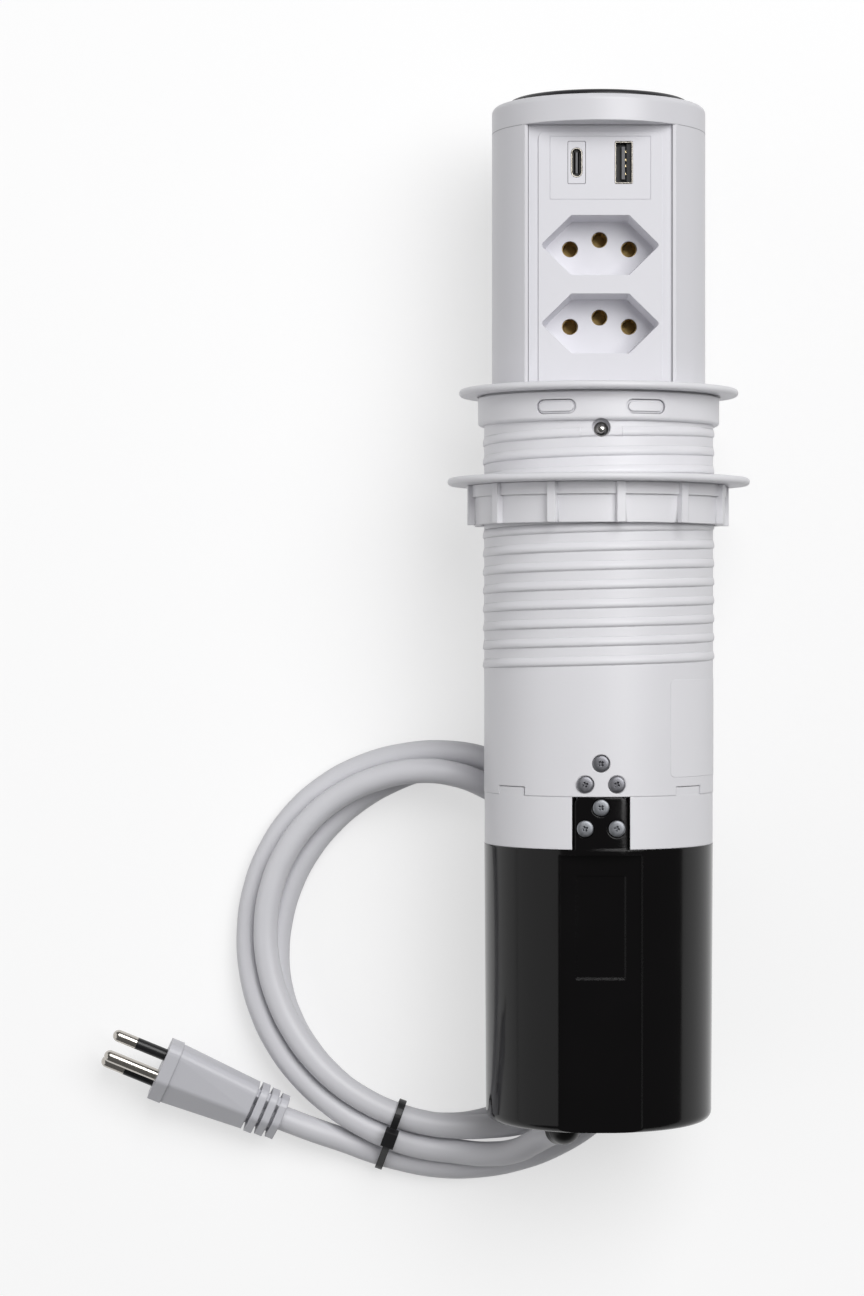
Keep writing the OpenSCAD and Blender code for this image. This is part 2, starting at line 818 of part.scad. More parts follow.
module clamp_washer() {
    edge = washer_t / 2;
    color(white)
        lay()
            rotate_extrude()
                polygon(concat([[nut_bore_r + 0.1, washer_top - washer_t]],
                    [for (a = [-90:15:90]) [washer_d / 2 - edge + edge * cos(a), washer_top - edge + edge * sin(a)]],
                    [[nut_bore_r + 0.1, washer_top]]));
}

// The nut's thread runs just above the sleeve's ridge
nut_thread_rise = thread_low_flank + thread_crest + thread_high_flank + 0.1;
nut_thread_tip_r = sleeve_r + 0.45;

module lock_nut() {
    rib_angle = 8.4;
    base = thread_base + nut_thread_rise;
    first = 360 * (nut_bottom - base + 0.2) / thread_pitch;
    turns = (nut_h - 2.4) / thread_pitch;
    color(white)
        lay() {
            tube(nut_d / 2, nut_bore_r, nut_bottom, nut_h);
            tube(nut_band_d / 2, nut_bore_r, nut_top - nut_band_h, nut_band_h);
            for (k = [0:nut_ribs - 1])
                intersection() {
                    tube(nut_rib_d / 2, nut_bore_r + 1, nut_bottom, nut_h);
                    rotate([0, 0, -90 + rib_angle + 360 * k / nut_ribs])
                        translate([nut_bore_r, -nut_rib_w / 2, nut_bottom])
                            cube([nut_rib_d / 2, nut_rib_w, nut_h]);
                }
            helix_ridge([
                [nut_bore_r + thread_bury, base + 2],
                [nut_bore_r + thread_bury, base - 0.2],
                [nut_thread_tip_r, base],
                [nut_thread_tip_r, base + 1]], first, turns, nut_d / 2);
        }
}

// Coupling ring, bottom housing and the plate that joins them to the sleeve

plate_out = sqrt(pow(bore_r, 2) - pow(tab_w / 2 - 0.5, 2)) - seat;
splice_t = 2.5;
screw_sink = 0.9;
tab_screw_sink = 0.75;
function sleeve_seat(p) = sleeve_r - screw_sink;
function housing_seat(p) = ring_r_at(p[1]) - tab_screw_sink;
sleeve_screw_z = seam_z + 3.9;
housing_screw_z = seam_z - 10;
screw_shank_d = 2.8;
function screw_xz(z) = [[-screw_base / 2, z], [screw_base / 2, z], [0, z + screw_rise]];
module screw_hole(p, out) {
    front_hole(p[0], p[1], screw_shank_d + 0.4, plate_out - over, out + over);
    front_hole(p[0], p[1], screw_head_d + 0.5, out, out + collar_r - sleeve_r + over);
}

// A cross-head screw through a wall into the splice plate, its head seated at a distance from the axis
module screw(p, out) {
    head_h = 1.6;
    shank_end = plate_out - splice_t - 0.5;
    cross_w = 0.8;
    cross_l = 3;
    color(steel)
        lay()
            difference() {
                union() {
                    front_hole(p[0], p[1], screw_head_d, out, out + head_h);
                    front_hole(p[0], p[1], screw_shank_d, shank_end, out + over / 2);
                }
                for (turn = [0, 90])
                    translate([p[0], -out - head_h, p[1]])
                        rotate([0, turn + 25 * (p[0] - 1), 0])
                            translate([-cross_l / 2, -over, -cross_w / 2])
                                cube([cross_l, over + 1, cross_w]);
            }
}
module sleeve_screws() {
    for (p = screw_xz(sleeve_screw_z))
        screw(p, sleeve_seat(p));
}
module housing_screws() {
    for (p = screw_xz(housing_screw_z))
        screw(p, housing_seat(p));
}

module splice_plate() {
    plate_top = lowered_foot - 1.5;
    plate_bottom = housing_screw_z - 3;
    color(steel)
        lay()
            difference() {
                translate([-tab_w / 2 + 0.5, -plate_out, plate_bottom])
                    cube([tab_w - 1, splice_t, plate_top - plate_bottom]);
                for (z = [sleeve_screw_z, housing_screw_z], p = screw_xz(z))
                    front_hole(p[0], p[1], screw_shank_d + 0.1, plate_out - splice_t - over, plate_out + over);
            }
}

// Outside of the coupling ring, from the housing up to the sleeve
module ring_outside(inset) {
    translate([0, 0, ring_bottom])
        cylinder(r1 = ring_end_r - inset, r2 = ring_r - inset, h = ring_h);
}

module coupling_ring() {
    notch_w = tab_w + 1.7;
    color(white)
        lay() {
            difference() {
                ring_outside(0);
                translate([0, 0, ring_bottom - over])
                    cylinder(r = ring_in_r, h = ring_h + 2 * over);
                translate([-notch_w / 2, -tower_d, ring_bottom - over])
                    cube([notch_w, tower_d, ring_h + 2 * over]);
            }
            for (back = [0, 180], side = [-1, 1])
                wall_sector(back + side * bayonet_angle - 0.4, bayonet_sweep, ring_in_r + 0.05, ring_r - 0.05,
                    seam_z - over, bayonet_h + over);
        }
}

module bottom_housing() {
    end_edge = 3;
    end_t = 2.5;
    end_r = housing_end_d / 2;
    spigot_t = 2;
    spigot_top = lowered_foot - 6;
    tab_gap = 0.2;
    tab_inset = 0.05;
    channel_top = ring_bottom - 1.8;
    channel_wall = channel_out - housing_wall;
    panel_w = 15.4;
    panel_h = 32.5;
    panel_z = channel_top - 6.7 - panel_h;
    inner_top_r = housing_d / 2 - housing_wall;
    inner_end_r = end_r - housing_wall;
    color(black)
        lay()
            difference() {
                union() {
                    rotate_extrude()
                        polygon(concat([[0, housing_bottom]],
                            [for (a = [-90:15:0]) [end_r - end_edge + end_edge * cos(a),
                                housing_bottom + end_edge + end_edge * sin(a)]],
                            [[housing_d / 2, ring_bottom], [0, ring_bottom]]));
                    tube(spigot_r, spigot_r - spigot_t, ring_bottom - over, spigot_top - ring_bottom + over);
                    intersection() {
                        union() {
                            ring_outside(tab_inset);
                            translate([0, 0, ring_bottom - over])
                                cylinder(r = ring_end_r - tab_inset, h = 2 * over);
                        }
                        front_prism(rounded(box_outline(tab_w, 2 * (ring_h - tab_gap)), 2), 0, ring_bottom,
                            max(ring_r, ring_end_r), max(ring_r, ring_end_r) - plate_out - 0.1);
                    }
                }
                intersection() {
                    translate([0, 0, housing_bottom + end_t])
                        cylinder(r1 = inner_end_r, r2 = inner_top_r - 0.2, h = housing_len - end_t + over);
                    translate([-housing_d, -channel_wall, housing_bottom])
                        cube([2 * housing_d, 2 * housing_d, 2 * housing_len]);
                }
                translate([0, 0, ring_bottom - 2 * over])
                    cylinder(r = spigot_r - spigot_t, h = ring_h + 4 * over);
                translate([-channel_w / 2, -channel_out - tower_r, housing_bottom - over])
                    cube([channel_w, tower_r, channel_top - housing_bottom + over]);
                translate([-panel_w / 2, -channel_out - over, panel_z])
                    cube([panel_w, over + 0.3, panel_h]);
                translate([-tab_w / 2 - 0.1, -plate_out - 0.1, ring_bottom])
                    cube([tab_w + 0.2, plate_out, ring_h + housing_len]);
                translate([-tab_w / 2 - 0.1, -tower_d, seam_z - tab_gap])
                    cube([tab_w + 0.2, tower_d, ring_h]);
                for (p = screw_xz(housing_screw_z))
                    screw_hole(p, housing_seat(p));
                translate([-gland_left, gland_back, housing_bottom - over])
                    cylinder(d = gland_shank_d + 0.2, h = end_t + 2 * over);
            }
}

// Gland: a ball-shaped elbow on the housing's end, with its mouth towards the coil

gland_shank_d = 9;
gland_inner = 6.5;
gland_end_t = 2.5;
gland_ball = [-gland_left, mid_y + ball_center_z, axis_h - gland_back];
gland_mouth = gland_ball + mouth_len * mouth_dir;

module cord_gland() {
    color(black) {
        lay()
            translate([-gland_left, gland_back, 0]) {
                translate([0, 0, ball_center_z])
                    cylinder(r = gland_r, h = gland_reach);
                translate([0, 0, ball_center_z])
                    cylinder(d = gland_shank_d, h = gland_reach + gland_inner);
                translate([0, 0, ball_center_z])
                    sphere(r = gland_r);
            }
        translate(gland_ball)
            rotate([0, 90 + mouth_dip, mouth_heading])
                cylinder(r1 = gland_r - 0.2, r2 = mouth_r, h = mouth_len);
    }
}

module gland_nut() {
    nut_across = 15;
    nut_t = 3.5;
    color(black)
        lay()
            translate([-gland_left, gland_back, housing_bottom + gland_end_t])
                difference() {
                    cylinder(d = nut_across, h = nut_t, $fn = 6);
                    translate([0, 0, -over])
                        cylinder(d = gland_shank_d + 0.2, h = nut_t + 2 * over);
                }
}

// Slack lead inside the sleeve and housing: [x, y, height above the housing's end]
inner_route = [[-11, 16.25, 6.5], [-11, 16.25, 16], [-9, 14, 36], [0, 6, 66], [6, -4, 100],
    [3, -6, 132], [-3, 0, 160], [-2, 4, 186], [0, 5, 204]];

module inner_lead() {
    route = concat([for (p = inner_route) p + [0, 0, housing_bottom]], [[0, 5, tower_foot]]);
    color("gainsboro")
        lay()
            cord_tube(route, cord_d / 2, 8, [0, 0, 1], [0, 0, 1], [0, 1, 0]);
}

// Mains cord: it leaves the gland, goes three times round the coil and ends in the plug

coil_center = [gland_ball[0] - 37.15, gland_ball[1] + 52.7, 0];
// Radius and height of the cord's middle at angles round the coil, clockwise from its lowest side
coil_radius = [[0, 63.4], [20, 62.3], [40, 62.8], [60, 65.1], [80, 67.7], [100, 70.6], [120, 73],
    [140, 73.8], [160, 72.4], [180, 70.8], [190, 69.8], [220, 63], [322, 63], [338, 57.8], [350, 55.2],
    [360, 54.6], [380, 53.9], [400, 55], [420, 57.2], [440, 60.4], [460, 64.4], [480, 67.6], [500, 68.6],
    [520, 67.2], [538, 65.2], [548, 62], [558, 57.6], [570, 54], [690, 54], [720, 56], [750, 56.2],
    [780, 57.8], [800, 59.7], [820, 60], [840, 61.2], [860, 62.5], [880, 64.4], [892, 65.8], [905, 68.2],
    [926, 72.5], [1035, 72.5], [1060, 70.8], [1080, 69.7], [1120, 69.4]];
coil_height = [[0, 12.8], [20, 12.4], [40, 11], [60, 9.5], [80, 7.7], [100, 4.2], [145, 4.2], [160, 8.6],
    [170, 11.3], [180, 12.7], [190, 13.4], [198, 13.5], [206, 11.9], [216, 7.2], [228, 4.2], [300, 4.2],
    [320, 8], [338, 12.8], [350, 15.4], [360, 15.8], [400, 15.5], [420, 14.6], [440, 13.2], [460, 12.1],
    [500, 12], [512, 14.2], [525, 18.2], [538, 20.8], [546, 20.4], [556, 13.5], [566, 6.5], [574, 4.2],
    [715, 4.2], [730, 5.55], [750, 5.55], [762, 4.2], [1070, 4.2], [1088, 5.55], [1120, 5.55]];
coil_from = 7.5;
coil_to = 1096;
coil_loops = 3;
coil_blend = 12;
function blended(keys, a) =
    let (part = [for (k = [-4:4]) lookup(a + k * coil_blend / 4, keys)])
    part * [for (k = [-4:4]) 1 / 9];
function coil_radius_at(a) = blended(coil_radius, a);
function coil_height_at(a) = blended(coil_height, a);
function coil_at(a) = coil_center + [-coil_radius_at(a) * sin(a), -coil_radius_at(a) * cos(a), coil_height_at(a)];
function coil_dir(a) = [-cos(a), sin(a), 0];

// Free stretch from the gland to the coil, from the coil's middle
lead_points = [[31.2, -56.6, 23.4], [27, -59.3, 20.4], [22, -62.2, 18.2], [11.1, -64.2, 14.4], [0, -63.4, 12.8]];

coil_rings = 24 * coil_loops + 1;
coil_first = coil_center + lead_points[len(lead_points) - 1];
coil_last = coil_at(coil_to) + cord_d * coil_dir(coil_to);
coil_route = concat([coil_first],
    [for (i = [0:coil_rings]) coil_at(coil_from + (coil_to - coil_from) * i / coil_rings)],
    [coil_last]);

// Least distance of the coil's surface to itself, a half loop or more along
coil_samples = [for (a = [coil_from:3:coil_to]) coil_at(a)];
half_loop = 60;
coil_gap = min([for (i = [0:len(coil_samples) - half_loop - 1])
    min([for (j = [i + half_loop:len(coil_samples) - 1]) norm(coil_samples[i] - coil_samples[j])])]) - cord_d;
echo(least_coil_gap = coil_gap);

module cord_coil() {
    color("gainsboro")
        cord_tube(coil_route, cord_d / 2, 6, coil_dir(0), coil_dir(coil_to), [0, 0, 1]);
}

module cord_lead() {
    route = concat([gland_mouth], [for (p = lead_points) coil_center + p]);
    color("gainsboro")
        cord_tube(route, cord_d / 2, 8, mouth_dir, coil_dir(0), [0, 0, 1]);
}

// Free stretch from the coil to the plug, from the coil's middle
tail_points = [[-36.5, -61, 6.4], [-47.4, -56.9, 8.8], [-58.2, -52.5, 10.6]];
plug_heading = 157;
plug_tilt = 4.5;
plug_roll = -51;
plug_end = coil_center + tail_points[len(tail_points) - 1];
plug_dir = [cos(plug_heading) * cos(plug_tilt), sin(plug_heading) * cos(plug_tilt), sin(plug_tilt)];

module cord_tail() {
    route = concat([coil_last], [for (p = tail_points) coil_center + p]);
    color("gainsboro")
        cord_tube(route, cord_d / 2, 8, coil_dir(coil_to), plug_dir, [0, 0, 1]);
}

// Cable tie round the four strands of the coil

tie_angle = 20;
tie_w = 2.4;
tie_t = 1;

module cable_tie() {
    strands = [for (k = [0:coil_loops]) [coil_radius_at(tie_angle + 360 * k), coil_height_at(tie_angle + 360 * k)]];
    strand_r = cord_d / 2 + 0.35;
    head = [5.8, 3.4];
    head_w = 4.4;
    step = strands[0] - strands[1];
    head_at = strands[1] + 0.6 * step;
    color(black)
        translate(coil_center)
            rotate([90, 0, -90 - tie_angle]) {
                translate([0, 0, -tie_w / 2])
                    linear_extrude(tie_w)
                        difference() {
                            hull()
                                for (p = strands)
                                    translate(p)
                                        circle(r = strand_r + tie_t, $fn = 32);
                            hull()
                                for (p = strands)
                                    translate(p)
                                        circle(r = strand_r, $fn = 32);
                        }
                translate(head_at)
                    rotate([0, 0, atan2(step[1], step[0])])
                        translate([-head[0] / 2, strand_r + tie_t / 2, -head_w / 2])
                            cube([head[0], head[1], head_w]);
            }
}

// Plug, drawn along +x from the end of the cord, then laid on the table

module plug_frame() {
    translate(plug_end)
        rotate([0, 0, plug_heading])
            rotate([0, -plug_tilt, 0])
                rotate([plug_roll, 0, 0])
                    children();
}
module along_plug(points, from, depth) {
    translate([from, 0, 0])
        rotate([90, 0, 90])
            linear_extrude(depth)
                polygon(points);
}
plug_front = relief_len + plug_len;
plug_pin_yz = [[-pin_pitch / 2, 0], [pin_pitch / 2, 0], [0, earth_rise]];
plug_pin_root = 9;
neck_d = plug_pin_d - 1;
module plug_pin_cut(p, d, from, to) {
    translate([from, p[0], p[1]])
        rotate([0, 90, 0])
            cylinder(d = d, h = to - from);
}

module plug_body() {
    rear_w = 25;
    rear_t = 14.2;
    rear_flat = 10.2;
    step = 0.5;
    collar_len = 4.5;
    corner = 3;
    color(white)
        plug_frame()
            difference() {
                union() {
                    hull() {
                        along_plug(rounded(hex_outline(rear_w, rear_t, rear_flat), corner), relief_len, 1);
                        along_plug(rounded(hex_outline(plug_w - 2 * step, plug_t - 2 * step, plug_flat - step),
                            corner), plug_front - collar_len - 1, 1.5);
                    }
                    along_plug(rounded(hex_outline(plug_w, plug_t, plug_flat), corner), plug_front - collar_len,
                        collar_len);
                }
                for (p = plug_pin_yz)
                    plug_pin_cut(p, plug_pin_d, plug_front - plug_pin_root, plug_front + over);
            }
}

module plug_strain_relief() {
    collars = 3;
    collar_step = relief_len / collars;
    collar_space = 1.05;
    collar_w = 24;
    collar_t = 15;
    collar_flat = 10;
    collar_taper = 1;
    corner = 3;
    web_t = 3.2;
    color(white)
        plug_frame() {
            rotate([0, 90, 0])
                cylinder(d = cord_d + 0.8, h = relief_len);
            along_plug(box_outline(collar_w - 2 * collar_taper - 3, web_t), 0.2, relief_len - 0.2);
            for (k = [0:collars - 1]) {
                less = collar_taper * (collars - 1 - k);
                along_plug(rounded(hex_outline(collar_w - less, collar_t - less, collar_flat), corner),
                    k * collar_step, collar_step - collar_space);
            }
        }
}

module plug_pins() {
    tip_r = plug_pin_d / 2;
    color(steel)
        plug_frame()
            for (k = [0:2]) {
                p = plug_pin_yz[k];
                sleeved = k < 2 ? pin_sleeve_len : 0;
                plug_pin_cut(p, plug_pin_d, plug_front + sleeved, plug_front + plug_pin_len - tip_r);
                plug_pin_cut(p, k < 2 ? neck_d : plug_pin_d, plug_front - plug_pin_root, plug_front + sleeved + over);
                translate([plug_front + plug_pin_len - tip_r, p[0], p[1]])
                    sphere(r = tip_r);
            }
}

module plug_pin_sleeves() {
    color(black)
        plug_frame()
            for (k = [0, 1])
                difference() {
                    plug_pin_cut(plug_pin_yz[k], plug_pin_d, plug_front - plug_pin_root, plug_front + pin_sleeve_len);
                    plug_pin_cut(plug_pin_yz[k], neck_d, plug_front - plug_pin_root - over,
                        plug_front + pin_sleeve_len + over);
                }
}

top_pad();
cap_ring();
tower_shell();
socket_faceplate();
usb_module_face();
usb_c_insert();
usb_c_shell();
usb_c_tongue();
usb_a_shell();
usb_a_tongue();
usb_board();
usb_supply();
contact_carrier();
insulator_plate();
line_busbar();
neutral_busbar();
earth_busbar();
core_wires();
tower_base();
detent_ball();
detent_spring();
desk_flange();
threaded_sleeve();
clamp_washer();
lock_nut();
coupling_ring();
bottom_housing();
splice_plate();
sleeve_screws();
housing_screws();
cord_gland();
gland_nut();
inner_lead();
cord_lead();
cord_coil();
cord_tail();
plug_body();
plug_strain_relief();
plug_pins();
plug_pin_sleeves();
cable_tie();
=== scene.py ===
import bisect
import math

import bmesh
import bpy
from mathutils import Matrix, Vector


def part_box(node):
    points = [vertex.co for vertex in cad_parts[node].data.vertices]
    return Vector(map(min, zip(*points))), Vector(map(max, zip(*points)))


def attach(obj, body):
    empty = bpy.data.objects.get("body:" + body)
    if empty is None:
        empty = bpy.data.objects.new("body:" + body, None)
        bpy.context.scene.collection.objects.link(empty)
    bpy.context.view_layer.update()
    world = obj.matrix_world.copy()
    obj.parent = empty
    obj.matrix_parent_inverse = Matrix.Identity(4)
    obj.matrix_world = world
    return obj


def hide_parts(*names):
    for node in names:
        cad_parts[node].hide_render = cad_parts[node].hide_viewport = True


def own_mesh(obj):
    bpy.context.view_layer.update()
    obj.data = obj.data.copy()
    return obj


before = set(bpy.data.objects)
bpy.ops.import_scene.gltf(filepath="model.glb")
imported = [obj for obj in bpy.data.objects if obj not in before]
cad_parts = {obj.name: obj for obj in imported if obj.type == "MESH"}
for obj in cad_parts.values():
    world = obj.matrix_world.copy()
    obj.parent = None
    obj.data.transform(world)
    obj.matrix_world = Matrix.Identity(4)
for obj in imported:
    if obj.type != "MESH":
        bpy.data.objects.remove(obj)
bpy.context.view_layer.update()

# The photographer's camera hangs straight over the unit, which lies on its back on a table.
# Every piece is drawn upright, z = 0 at the desk top and the front towards -y, then laid down
# by laid(), which takes millimetres and gives metres in the frame of the solids.
mm = 0.001
flange_thickness = 2.4
desk_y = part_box("desk_flange")[1].y / mm - flange_thickness
axis_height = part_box("clamp_washer")[1].z / mm / 2


def laid(x, y, z):
    return Vector((x, z + desk_y, axis_height - y)) * mm


camera_x, camera_z = -24, -73
camera_over_axis = 1076
framed_left, framed_below = 30.3, 8.7
camera = bpy.data.objects.new("camera", bpy.data.cameras.new("camera"))
camera.data.sensor_width = 36
camera.data.lens = 91.67
camera.location = laid(camera_x, -camera_over_axis, camera_z)
view_width = camera_over_axis * camera.data.sensor_width / camera.data.lens
camera.data.shift_x = -framed_left / view_width
camera.data.shift_y = -framed_below / view_width
bpy.context.scene.collection.objects.link(camera)
bpy.context.scene.camera = camera
bpy.context.scene.view_settings.view_transform = "Standard"


# Mains cord: a round white sheath over three cores, moulded into the plug at one end and held by the
# gland at the other. It is wound three times and tied; the loops lie over and beside each other.
cord_d = 8.3
gland_x, gland_y, gland_z = -11, 16.25, -240.8
gland_ball = laid(gland_x, gland_y, gland_z) / mm
mouth_reach = 5.5
mouth_heading, mouth_dip = math.radians(215), math.radians(62)
mouth_dir = Vector((math.cos(mouth_heading) * math.cos(mouth_dip),
                    math.sin(mouth_heading) * math.cos(mouth_dip), -math.sin(mouth_dip)))
mouth = gland_ball + mouth_reach * mouth_dir
coil_left, coil_up = 37.15, 52.7
coil_middle = Vector((gland_ball.x - coil_left, gland_ball.y + coil_up, 0))

# The loops as they lie: degrees round the coil, clockwise from its foot, with the radius or the height there.
coil_radius = [(0, 63.4), (20, 62.3), (40, 62.8), (60, 65.1), (80, 67.7), (100, 70.6), (120, 73),
               (140, 73.8), (160, 72.4), (180, 70.8), (190, 69.8), (220, 63), (322, 63), (338, 57.8),
               (350, 55.2), (360, 54.6), (380, 53.9), (400, 55), (420, 57.2), (440, 60.4), (460, 64.4),
               (480, 67.6), (500, 68.6), (520, 67.2), (538, 65.2), (548, 62), (558, 57.6), (570, 54),
               (690, 54), (720, 56), (750, 56.2), (780, 57.8), (800, 59.7), (820, 60), (840, 61.2),
               (860, 62.5), (880, 64.4), (892, 65.8), (905, 68.2), (926, 72.5), (1035, 72.5), (1060, 70.8),
               (1080, 69.7), (1120, 69.4)]
coil_height = [(0, 12.8), (20, 12.4), (40, 11), (60, 9.5), (80, 7.7), (100, 4.2), (145, 4.2), (160, 8.6),
               (170, 11.3), (180, 12.7), (190, 13.4), (198, 13.5), (206, 11.9), (216, 7.2), (228, 4.2),
               (300, 4.2), (320, 8), (338, 12.8), (350, 15.4), (360, 15.8), (400, 15.5), (420, 14.6),
               (440, 13.2), (460, 12.1), (500, 12), (512, 14.2), (525, 18.2), (538, 20.8), (546, 20.4),
               (556, 13.5), (566, 6.5), (574, 4.2), (715, 4.2), (730, 5.55), (750, 5.55), (762, 4.2),
               (1070, 4.2), (1088, 5.55), (1120, 5.55)]
coil_from, coil_to, coil_steps = 7.5, 1096, 96
coil_blend, blend_steps = 12, 4
lead_points = [(31.2, -56.6, 23.4), (27, -59.3, 20.4), (22, -62.2, 18.2), (11.1, -64.2, 14.4),
               (0, -63.4, 12.8)]
tail_points = [(-36.5, -61, 6.4), (-47.4, -56.9, 8.8), (-58.2, -52.5, 10.6)]


def between(keys, at):
    """The value at one place of a list of (place, value), on the straight line from key to key."""
    i = bisect.bisect_right([key[0] for key in keys], at)
    if i == 0 or i == len(keys):
        return keys[min(i, len(keys) - 1)][1]
    (a, low), (b, high) = keys[i - 1], keys[i]
    return low + (high - low) * (at - a) / (b - a)


def eased(keys, at):
    """The mean of the values near one place, which rounds off the corners at the keys."""
    nearby = [at + k * coil_blend / blend_steps for k in range(-blend_steps, blend_steps + 1)]
    return sum(between(keys, angle) for angle in nearby) / len(nearby)


def coil_point(angle):
    r, turn = eased(coil_radius, angle), math.radians(angle)
    return coil_middle + Vector((-r * math.sin(turn), -r * math.cos(turn), eased(coil_height, angle)))


loops = [coil_point(coil_from + (coil_to - coil_from) * i / coil_steps) for i in range(coil_steps + 1)]
coil_end_turn = math.radians(coil_to)
coil_end = loops[-1] + cord_d * Vector((-math.cos(coil_end_turn), math.sin(coil_end_turn), 0))
route = [mouth] + [coil_middle + Vector(point) for point in lead_points] + loops + [coil_end]
route += [coil_middle + Vector(point) for point in tail_points]


def cord_curve(name, points, diameter):
    """A smooth round cord through points in millimetres."""
    line = bpy.data.curves.new(name, "CURVE")
    line.dimensions = "3D"
    line.bevel_depth = diameter / 2 * mm
    line.bevel_resolution = 6
    line.resolution_u = 6
    line.use_fill_caps = True
    spline = line.splines.new("BEZIER")
    spline.bezier_points.add(len(points) - 1)
    for knot, point in zip(spline.bezier_points, points):
        knot.co = point * mm
        knot.handle_left_type = knot.handle_right_type = "AUTO"
    cord = bpy.data.objects.new(name, line)
    bpy.context.scene.collection.objects.link(cord)
    return cord


def feed(node, values):
    """Sets each named input of a node to a plain value, or links a Shade to it."""
    for name, value in values.items():
        if isinstance(value, Shade):
            value.tree.links.new(value.socket, node.inputs[name])
        else:
            node.inputs[name].default_value = value


class Shade:
    """One socket among the nodes of a finish. Sums and products with it add Math nodes."""

    def __init__(self, tree, socket):
        self.tree, self.socket = tree, socket

    def node(self, kind, settings=None, sockets=None, out=0):
        made = self.tree.nodes.new(kind)
        for name, value in (settings or {}).items():
            setattr(made, name, value)
        feed(made, sockets or {})
        return Shade(self.tree, made.outputs[out])

    def worked(self, operation, first, second):
        return self.node("ShaderNodeMath", {"operation": operation}, {0: first, 1: second})

    def __add__(self, other):
        return self.worked("ADD", self, other)

    def __sub__(self, other):
        return self.worked("SUBTRACT", self, other)

    def __rsub__(self, other):
        return self.worked("SUBTRACT", other, self)

    def __mul__(self, other):
        return self.worked("MULTIPLY", self, other)

    __radd__, __rmul__ = __add__, __mul__


def new_finish(name):
    """A new material, with the piece's own coordinates in it and its shader."""
    finish = bpy.data.materials.new(name)
    finish.use_nodes = True
    tree = finish.node_tree
    place = Shade(tree, tree.nodes.new("ShaderNodeTexCoord").outputs["Object"])
    return finish, place, tree.nodes["Principled BSDF"]


def noise(place, scale, detail=2):
    return place.node("ShaderNodeTexNoise", {}, {"Vector": place, "Scale": scale, "Detail": detail})


def mixed(place, share, none, full):
    """A colour from none to full by its share; the Mix node has its colours at sockets 6, 7 and out 2."""
    return place.node("ShaderNodeMix", {"data_type": "RGBA"}, {0: share, 6: (*none, 1), 7: (*full, 1)}, 2)


def moulded(name, colour, shadow, rough, grain, depth, edge):
    """Injection-moulded plastic: faint clouds in its colour and gloss, a fine grain, softened edges.
    The depth of the grain and the radius of the edges are in millimetres."""
    finish, place, shader = new_finish(name)
    gloss_swing = 0.16
    cloud = noise(place, scale=45, detail=4)
    fine = noise(place, scale=grain)
    soft_edge = place.node("ShaderNodeBevel", {"samples": 6}, {"Radius": edge * mm})
    bump = place.node("ShaderNodeBump", {}, {"Strength": 0.5, "Distance": depth * mm, "Height": fine,
                                             "Normal": soft_edge})
    feed(shader, {"Base Color": mixed(place, cloud, shadow, colour),
                  "Roughness": rough + gloss_swing * (cloud - 0.5), "Normal": bump})
    return finish


def dress(name, finish):
    """Gives one of the part's solids its finish."""
    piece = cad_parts[name]
    piece.data.materials.clear()
    piece.data.materials.append(finish)


sheath = moulded("cord_sheath", (0.73, 0.725, 0.76), (0.68, 0.68, 0.71), rough=0.42, grain=900,
                 depth=0.03, edge=0.2)
cord = cord_curve("mains_cord", route, cord_d)
cord.data.materials.append(sheath)
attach(cord, "sleeve")
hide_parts("cord_lead", "cord_coil", "cord_tail")


# Table and studio light: a white table, a large soft lamp high over its right side and a wide dim panel
# on the left, with a faint even glow from the room. The table glows to the eye and in reflections,
# but casts no light of its own on the part.
def loose(name, shape):
    """A bmesh as an object in the scene, without a finish."""
    mesh = bpy.data.meshes.new(name)
    shape.to_mesh(mesh)
    shape.free()
    piece = bpy.data.objects.new(name, mesh)
    bpy.context.scene.collection.objects.link(piece)
    return piece


table_size = 3
sheet = bmesh.new()
bmesh.ops.create_grid(sheet, x_segments=1, y_segments=1, size=table_size)
table = loose("table", sheet)
table_top, place, shader = new_finish("table_top")
unlit, table_glow = (0, 0, 0), (0.58, 0.58, 0.58)
seen, glossy, through = [place.node("ShaderNodeLightPath", out=ray) for ray in
                         ("Is Camera Ray", "Is Glossy Ray", "Is Transmission Ray")]
feed(shader, {"Base Color": (0.45, 0.45, 0.452, 1), "Roughness": 0.9, "Specular IOR Level": 0.1,
              "Emission Color": mixed(place, seen + glossy + through, unlit, table_glow),
              "Emission Strength": 1})
table.data.materials.append(table_top)

room_glow = 0.14
world = bpy.data.worlds.new("studio")
world.use_nodes = True
feed(world.node_tree.nodes["Background"], {"Color": (1, 1, 1, 1), "Strength": room_glow})
bpy.context.scene.world = world


def lamp(name, spot, aim, width, height, watts):
    """A soft rectangular lamp at a spot, turned to its aim; all in metres."""
    light = bpy.data.lights.new(name, "AREA")
    light.shape, light.size, light.size_y, light.energy = "RECTANGLE", width, height, watts
    holder = bpy.data.objects.new(name, light)
    holder.location = spot
    holder.rotation_euler = (Vector(aim) - Vector(spot)).to_track_quat("-Z", "Y").to_euler()
    bpy.context.scene.collection.objects.link(holder)


lamp("right_lamp", spot=(0.68, 0.78, 1.75), aim=(0, 0.1, 0.05), width=1.7, height=1.3, watts=35)
lamp("left_panel", spot=(-1.4, 0, 0.85), aim=(0, 0, 0.85), width=2.6, height=1.6, watts=10)


